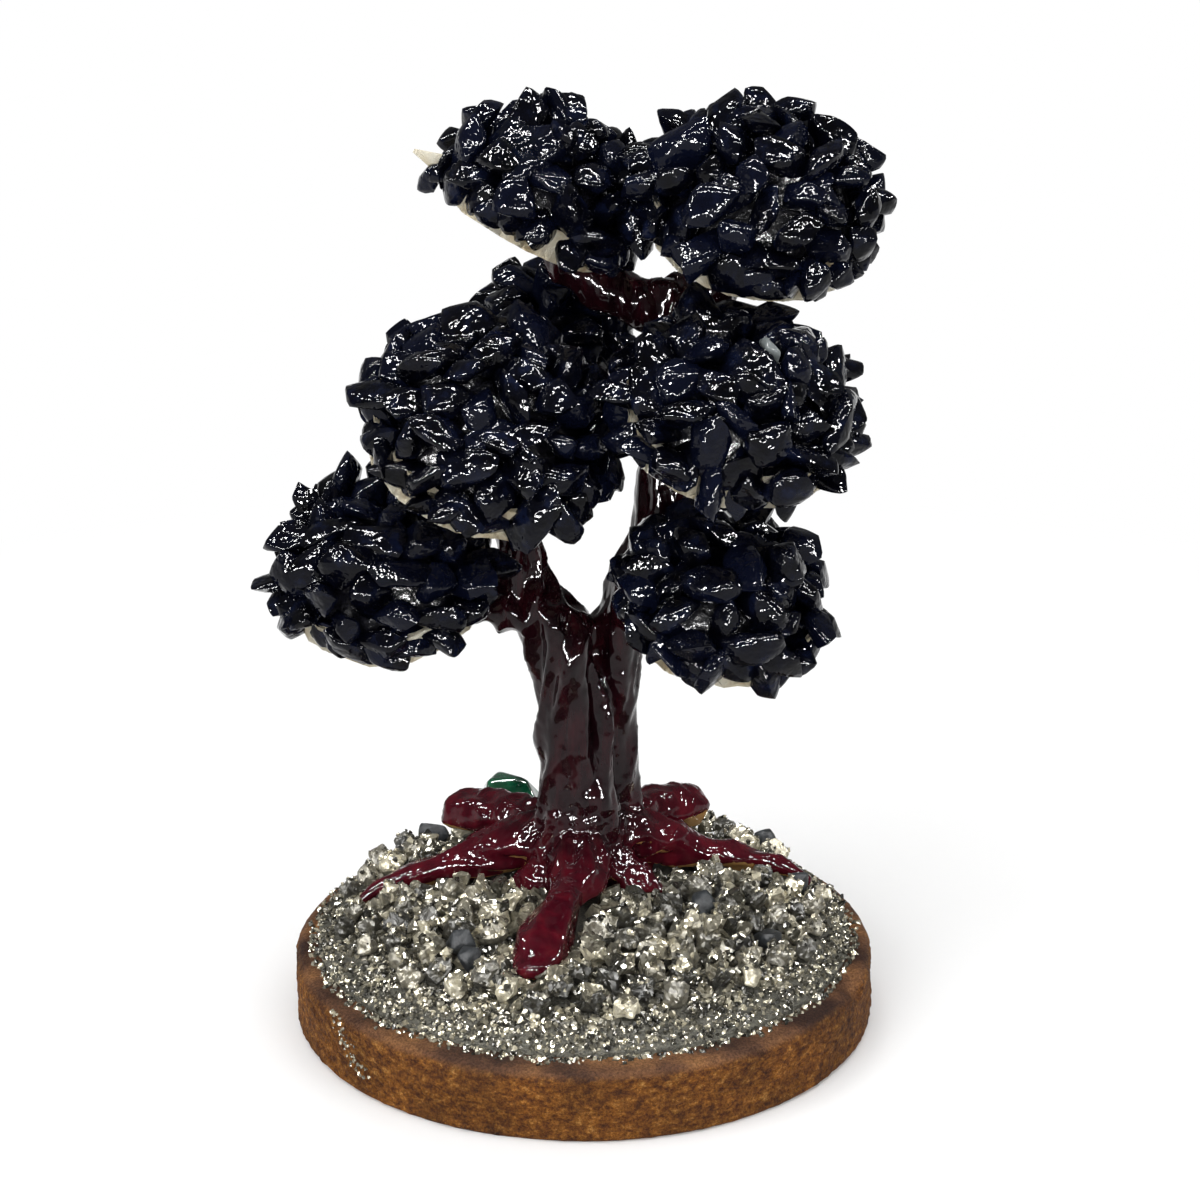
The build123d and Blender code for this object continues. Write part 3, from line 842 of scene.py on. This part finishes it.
def heap_of_chips(pad):
    """The chips of one pad as they lie on the glue, as separate pairs of points and faces."""
    random = Random(pad)
    centre, axes, radius, _ = felt_place(pad)
    solids = merged_copy("chip_solids", f"{pad}_chips")
    merge_flat_faces(solids)
    points = corners_of(solids)
    chips = []
    for rows, faces in stones_of(solids):
        index = {row: i for i, row in enumerate(rows)}
        own = points[rows]
        middle = own.mean(0)
        outward = middle - centre + axes[2] * radius * heap_lean
        outward /= np.linalg.norm(outward)
        own = splintered(random, own - middle)
        lift = outward * random.uniform(*chip_lift)
        chips.append((own + middle + lift, [[index[c] for c in face] for face in faces]))
    surface = BVHTree.FromPolygons(
        [Vector(p) for p in points], [tuple(p.vertices) for p in solids.data.polygons]
    )
    bpy.data.objects.remove(solids)
    first = len(chips)
    heart = Vector(centre + axes[2] * radius * heart_rise)
    for _ in range(extra_chips):
        turn, rise = random.uniform(0, math.tau), random.uniform(*extra_tilt)
        level = math.cos(rise)
        way = Vector(np.array([math.cos(turn) * level, math.sin(turn) * level, math.sin(rise)]) @ axes)
        hit = surface.ray_cast(heart + way * radius * extra_start, -way)[0]
        if hit:
            chips.append(turned_chip(random, chips[random.randrange(first)], hit - way * extra_sink))
    rim_chips = round(math.tau * radius / rim_pitch)
    for i in range(rim_chips):
        turn = math.tau * (i + random.uniform(*rim_jitter)) / rim_chips
        out = radius + random.uniform(*rim_reach)
        spot = np.array([math.cos(turn) * out, math.sin(turn) * out, random.uniform(*rim_rise)])
        chips.append(turned_chip(random, chips[random.randrange(first)], centre + spot @ axes))
    if pad == bridge_pad:
        near_rim = centre + left_way(axes) * (radius + bridge_reach)
        for _ in range(bridge_chips):
            spot = near_rim + np.array([random.uniform(*limits) for limits in bridge_spread]) * mm
            chips.append(turned_chip(random, chips[random.randrange(first)], spot))
    if pad == loose_pad:
        place = centre + left_way(axes) * (radius + loose_reach) - axes[2] * loose_drop
        chips.append(small_chip(random, chips[0], place))
    if pad == pale_pad:
        chips.append(small_chip(random, chips[1], pale_spot))
    return chips


def tumble(pad):
    """One piece of rounded chips from a pad's rough ones, with a tone for each chip."""
    name = f"{pad}_stones"
    random = Random(name)
    chips = heap_of_chips(pad)
    heap, owners = joined_stones(name, chips)
    tones = np.array([random.random() * dark_tones for _ in chips])
    if pad == pale_pad:
        tones[-1] = 1
    note(heap, "tone", tones[owners])
    round_stones(heap, chip_crease, chip_levels)
    waves = bpy.data.textures.new("lacquer_waves", "CLOUDS")
    waves.noise_scale = chip_wave_size
    finish_with(heap, "DISPLACE", texture=waves, strength=chip_waves, texture_coords="LOCAL")
    return heap


heaps = {pad: tumble(pad) for pad in pads}
print("chips heaped on", len(heaps), "pads")

# %% Lacquer the chips
pale_tones = (0.990, 0.992)
chip_coat, chip_shader = new_finish("black_lacquered_stone", Roughness=0.07, IOR=1.24)
tone = add_node(chip_coat, "ShaderNodeAttribute", attribute_name="tone").outputs["Fac"]
clouds = object_pattern(chip_coat, "ShaderNodeTexNoise", values={"Scale": 320.0, "Detail": 4.0})
beads = object_pattern(
    chip_coat, "ShaderNodeTexNoise", values={"Scale": 760.0, "Detail": 1.0, "Roughness": 0.4}
)
stone = colour_ramp(
    chip_coat,
    clouds.outputs["Fac"],
    ((0.35, (0.0006, 0.0006, 0.0012)), (0.55, (0.0015, 0.0018, 0.0048)), (0.72, (0.004, 0.006, 0.018))),
)
blue = mix_colours(chip_coat, spread(chip_coat, tone, 0.55, 1.0), stone, (0.0024, 0.0034, 0.0105))
pale = spread(chip_coat, tone, *pale_tones)
blue = mix_colours(chip_coat, pale, blue, (0.150, 0.165, 0.165))
bead_bump = bump(chip_coat, ((beads.outputs["Fac"], 0.26),))
connect(chip_coat, chip_shader, Base_Color=blue, Normal=bead_bump)
for pad, heap in heaps.items():
    finish_piece(heap, chip_coat, "dark_chips", f"{pad}_chips")

# %% [markdown]
# ## Glue, wire and pins
# These pieces stay as they are in the frame, because little or nothing of them shows. They still get a
# finish: black glue that shines in the gaps between chips, and plain drawn metal for wire and pins.

# %% Finish the hidden pieces
glue, glue_shader = new_finish("black_glue", Roughness=0.22)
glue_noise = object_pattern(glue, "ShaderNodeTexNoise", values={"Scale": 500.0, "Detail": 3.0})
glue_colour = colour_ramp(
    glue, glue_noise.outputs["Fac"], ((0.35, (0.002, 0.002, 0.003)), (0.65, (0.010, 0.010, 0.016)))
)
glue_bump = bump(glue, ((glue_noise.outputs["Fac"], 0.4),))
connect(glue, glue_shader, Base_Color=glue_colour, Normal=glue_bump)
wire, wire_shader = new_finish("drawn_wire", Metallic=1.0)
wire_noise = object_pattern(wire, "ShaderNodeTexNoise", (1, 1, 0.1), {"Scale": 3000.0, "Detail": 2.0})
wire_colour = colour_ramp(
    wire, wire_noise.outputs["Fac"], ((0.3, (0.50, 0.50, 0.52)), (0.7, (0.72, 0.72, 0.74)))
)
wire_rough = spread(wire, wire_noise.outputs["Fac"], 0.3, 0.7, 0.25, 0.45)
connect(wire, wire_shader, Base_Color=wire_colour, Roughness=wire_rough)
hidden = {f"{pad}_glue": glue for pad in pads}
hidden.update({"left_armature_wire": wire, "right_armature_wire": wire, "pad_pins": wire})
for name, finish in hidden.items():
    recoat(name, finish)
print("finished", len(hidden), "hidden nodes")

# %% [markdown]
# ## Pyrite
# Pyrite breaks into small bright cubes and splinters. The bed is fine sand at its rim and coarser
# towards the trunk, with lumps on top. The lumps are the frame's own, with their edges broken. Grains
# are far too many to place one by one: a few cut cubes are modelled, and copies of them are dropped
# onto the bed by rays, all in one mesh for each grade.

# %% Break the lumps
lump_groups = ("front_pyrite", "left_pyrite", "right_pyrite", "back_pyrite", "dark_stones")
lump_bevel, lump_levels = 0.3 * mm, 2
crystal_size = 1.6 * mm
crystal_depth = -0.6 * mm
stone_crease, stone_levels = 0.5, 2


def broken_lumps(group):
    """One group's lumps with edges broken, or rounded on dark stones, and a tone for each lump."""
    random = Random(group)
    solids = merged_copy(f"{group}_lumps", group)
    merge_flat_faces(solids)
    tones = np.zeros(len(solids.data.vertices))
    for rows, _ in stones_of(solids):
        tones[rows] = random.random()
    note(solids, "tone", tones)
    if group == "dark_stones":
        round_stones(solids, stone_crease, stone_levels)
        return solids
    finish_with(solids, "BEVEL", width=lump_bevel, segments=1, limit_method="NONE")
    finish_with(solids, "TRIANGULATE")
    finish_with(
        solids, "SUBSURF", subdivision_type="SIMPLE", levels=lump_levels, render_levels=lump_levels
    )
    crystals = bpy.data.textures.new("lump_crystals", "VORONOI")
    crystals.noise_scale = crystal_size
    finish_with(
        solids, "DISPLACE", texture=crystals, strength=crystal_depth, texture_coords="LOCAL"
    )
    return solids


lumps = {group: broken_lumps(group) for group in lump_groups}
print("shaped", len(lumps), "groups of lumps")

# %% Cut a few grains
grain_kinds = 7
grain_cuts = 4
cut_slant, cut_depth = (0.1, 1), (0.26, 0.46)


def cut_grain(kind):
    """A unit cube with some corners cut off, as points and faces."""
    random = Random(f"grain {kind}")
    bpy.ops.object.select_all(action="DESELECT")
    bpy.ops.mesh.primitive_cube_add(size=1.0)
    grain = bpy.context.object
    bpy.ops.object.mode_set(mode="EDIT")
    for _ in range(grain_cuts):
        bpy.ops.mesh.select_all(action="SELECT")
        slants = [random.choice((-1, 1)) * random.uniform(*cut_slant) for _ in range(3)]
        way = Vector(slants).normalized()
        bpy.ops.mesh.bisect(
            plane_co=way * random.uniform(*cut_depth), plane_no=way, use_fill=True, clear_outer=True
        )
    bpy.ops.object.mode_set(mode="OBJECT")
    shape = corners_of(grain), [tuple(p.vertices) for p in grain.data.polygons]
    bpy.data.objects.remove(grain)
    return shape


grain_shapes = [cut_grain(kind) for kind in range(grain_kinds)]
print("grains of", [len(faces) for _, faces in grain_shapes], "faces")

# %% Find the ground under the grains
pyrite_groups = [group for group in lump_groups if group != "dark_stones"]
ground_names = ["base_disc", "grit_bed"]
cover_names = ["left_stem", "right_stem", "green_stone", "dark_stones", *root_names]
ray_height = 60 * mm
clean_share = 0.74


def surface_of(names):
    """A search tree of the faces of some nodes."""
    points, faces = [], []
    for name in names:
        mesh = nodes[name].data
        faces += [tuple(c + len(points) for c in p.vertices) for p in mesh.polygons]
        points += [v.co.copy() for v in mesh.vertices]
    return BVHTree.FromPolygons(points, faces)


bed_and_base = surface_of(ground_names)
lump_tops = surface_of(pyrite_groups)
tree_and_stones = surface_of(cover_names)


def ground_at(x, y, random):
    """The ground under a spot, or None where the tree covers it or where a lump stays clean."""
    start = Vector((x, y, ray_height))
    surfaces = (bed_and_base, lump_tops, tree_and_stones)
    hits = [surface.ray_cast(start, Vector((0, 0, -1)))[0] for surface in surfaces]
    heights = [-1 if hit is None else hit.z for hit in hits]
    highest = heights.index(max(heights))
    clean_lump = highest == 1 and random.random() < clean_share
    return None if highest == 2 or clean_lump else hits[highest]


print("rays search", len(ground_names + pyrite_groups + cover_names), "nodes")

# %% Drop the grains
bed_centre = Vector(((bed_low.x + bed_high.x) / 2, (bed_low.y + bed_high.y) / 2))
bed_radius = (bed_high.x - bed_low.x) / 2
edge_uneven, edge_waves, edge_layer = 0.025, 5, 3
stray_share, stray_rarity = 0.03, 6
grain_squeeze = (0.7, 1.15)
# Name, count, sizes in millimetres, band as shares of the bed's radius, share of a grain that sinks in.
grades = (
    ("fine_grit", 7000, (0.40, 0.85), (0.52, 1.03), 0.30),
    ("middle_grit", 4200, (0.7, 1.5), (0.0, 0.88), 0.30),
    ("coarse_grit", 480, (1.8, 3.2), (0.0, 0.78), 0.32),
)


def drop_grains(name, count, sizes, band, sink):
    """One mesh of grains dropped onto the bed, thinning out in an uneven line at its rim."""
    random = Random(name)
    grains = []
    while len(grains) < count:
        share = math.sqrt(random.uniform(band[0] ** 2, band[1] ** 2))
        turn = random.uniform(0, math.tau)
        bearing = Vector((math.cos(turn) * edge_waves, math.sin(turn) * edge_waves, edge_layer))
        edge = 1 + edge_uneven * noise.noise(bearing)
        stray = stray_share * random.random() ** stray_rarity
        run = bed_radius * (share * edge + stray)
        x, y = bed_centre.x + run * math.cos(turn), bed_centre.y + run * math.sin(turn)
        hit = ground_at(x, y, random)
        if hit is None:
            continue
        size = random.uniform(*sizes) * mm
        points, faces = random.choice(grain_shapes)
        squeeze = np.array([random.uniform(*grain_squeeze) for _ in range(3)])
        own = points * squeeze * size @ random_turn(random).T
        grains.append((own + np.array(hit) + np.array([0, 0, size * (0.5 - sink)]), faces))
    grit, owners = joined_stones(name, grains)
    tones = np.array([random.random() for _ in grains])
    note(grit, "tone", tones[owners])
    return grit


grits = [drop_grains(*grade) for grade in grades]
print("dropped", sum(grade[1] for grade in grades), "grains")

# %% Spill a few over the rim
spill_start, spill_end = Vector((-41.5, -28.0, 12.0)) * mm, Vector((-36.2, -34.6, 3.5)) * mm
spill_count, spill_width = 60, 0.8 * mm
stray_count, stray_reach = 150, 1.3 * mm
stray_turns = (math.radians(-175), math.radians(-35))
spill_sizes, spill_tones = (0.25, 0.60), (0.5, 1)


def spill_grains():
    """One mesh of grains that ran over the rim in one place, and strays along the front of it."""
    random = Random("spill")
    spots = []
    for _ in range(spill_count):
        spot = spill_start.lerp(spill_end, random.random())
        spot += Vector([random.gauss(0, 1) * spill_width for _ in range(3)])
        level = min(spot.z, base_top)
        around = Vector((spot.x, spot.y, 0)).normalized() * (base_radius - side_waviness)
        spots.append(Vector((around.x, around.y, level)))
    for _ in range(stray_count):
        turn = random.uniform(*stray_turns)
        out = bed_radius + random.expovariate(1 / stray_reach)
        if out < base_radius - base_round:
            x, y = bed_centre.x + out * math.cos(turn), bed_centre.y + out * math.sin(turn)
            spots.append(Vector((x, y, base_top)))
    grains = []
    for spot in spots:
        points, faces = random.choice(grain_shapes)
        size = random.uniform(*spill_sizes) * mm
        grains.append((points * size @ random_turn(random).T + np.array(spot), faces))
    grit, owners = joined_stones("spilled_grit", grains)
    tones = np.array([random.uniform(*spill_tones) for _ in grains])
    note(grit, "tone", tones[owners])
    return grit


grits.append(spill_grains())
print("spilled grains with", len(grits[-1].data.polygons), "faces")

# %% Give the pyrite its glitter
def pyrite_finish(name, metal, dull, bright, crystal_scale, tilt):
    """Grey brass under a thin crust, with small faces that flash one by one."""
    pyrite, shader = new_finish(name, Metallic=metal)
    tone = add_node(pyrite, "ShaderNodeAttribute", attribute_name="tone").outputs["Fac"]
    crust = object_pattern(
        pyrite, "ShaderNodeTexNoise", values={"Scale": 900.0, "Detail": 4.0, "Roughness": 0.6}
    ).outputs["Fac"]
    crystals = object_pattern(pyrite, "ShaderNodeTexVoronoi", values={"Scale": crystal_scale})
    brass = colour_ramp(
        pyrite,
        tone,
        (
            (0.00, (0.024, 0.023, 0.018)),
            (0.35, (0.105, 0.098, 0.075)),
            (0.70, (0.310, 0.285, 0.212)),
            (1.00, (0.760, 0.700, 0.520)),
        ),
    )
    crusted = colour_ramp(pyrite, crust, ((0.35, (0.45, 0.45, 0.46)), (0.62, (1.0, 1.0, 1.0))))
    connect(
        pyrite,
        shader,
        Base_Color=mix_colours(pyrite, 1.0, brass, crusted, "MULTIPLY"),
        Roughness=spread(pyrite, crust, 0.35, 0.65, dull, bright),
        Normal=facets(pyrite, crystals.outputs["Color"], tilt),
    )
    return pyrite


lump_pyrite = pyrite_finish("pyrite_lump", 0.2, 0.50, 0.24, 1200.0, 0.8)
grit_pyrite = pyrite_finish("pyrite_grain", 0.4, 0.26, 0.14, 1500.0, 0.85)

slate, slate_shader = new_finish("dark_stone", Roughness=0.5, Specular_IOR_Level=0.2)
slate_noise = object_pattern(slate, "ShaderNodeTexNoise", values={"Scale": 450.0, "Detail": 4.0})
slate_colour = colour_ramp(
    slate, slate_noise.outputs["Fac"], ((0.35, (0.010, 0.012, 0.014)), (0.65, (0.042, 0.048, 0.054)))
)
slate_bump = bump(slate, ((slate_noise.outputs["Fac"], 0.4),))
connect(slate, slate_shader, Base_Color=slate_colour, Normal=slate_bump)

for group, obj in lumps.items():
    if group == "dark_stones":
        finish_piece(obj, slate, "dark_stone", group)
    else:
        finish_piece(obj, lump_pyrite, "pyrite_lumps", group, smooth=False)
for grit in grits:
    finish_piece(grit, grit_pyrite, "pyrite_grit", smooth=False)
# The bed under the grains is painted nearly black: partly the grey of pyrite sand, partly painted shade
# for the gaps between grains.
sand, sand_shader = new_finish("pyrite_sand_and_gap_shade", Metallic=0.6, Roughness=0.5)
sand_noise = object_pattern(
    sand, "ShaderNodeTexNoise", values={"Scale": 2600.0, "Detail": 3.0, "Roughness": 0.7}
)
# Dark stops: sand colour with painted shade for the gaps between grains.
sand_and_gap_shade = colour_ramp(
    sand, sand_noise.outputs["Fac"], ((0.36, (0.010, 0.010, 0.008)), (0.64, (0.085, 0.080, 0.060)))
)
sand_bump = bump(sand, ((sand_noise.outputs["Fac"], 0.5),))
connect(sand, sand_shader, Base_Color=sand_and_gap_shade, Normal=sand_bump)
recoat("grit_bed", sand)

# %% [markdown]
# ## Green stone
# One larger stone of polished green lies behind the trunk. Its node is a rough convex solid. Half-sharp
# edges under a subdivision surface make it a tumbled pebble, with clouds of light and dark green.

# %% Round the green stone
pebble_levels = 3
pebble = merged_copy("green_pebble", "green_stone")
round_stones(pebble, stone_crease, pebble_levels)
jade, jade_shader = new_finish("green_stone", Roughness=0.12, Coat_Weight=0.6, Coat_Roughness=0.04)
jade_noise = object_pattern(jade, "ShaderNodeTexNoise", values={"Scale": 240.0, "Detail": 5.0})
jade_colour = colour_ramp(
    jade,
    jade_noise.outputs["Fac"],
    ((0.34, (0.000, 0.016, 0.008)), (0.52, (0.002, 0.070, 0.030)), (0.70, (0.010, 0.180, 0.075))),
)
jade_bump = bump(jade, ((jade_noise.outputs["Fac"], 0.3),))
connect(jade, jade_shader, Base_Color=jade_colour, Normal=jade_bump)
finish_piece(pebble, jade, "green_stone", "green_stone")
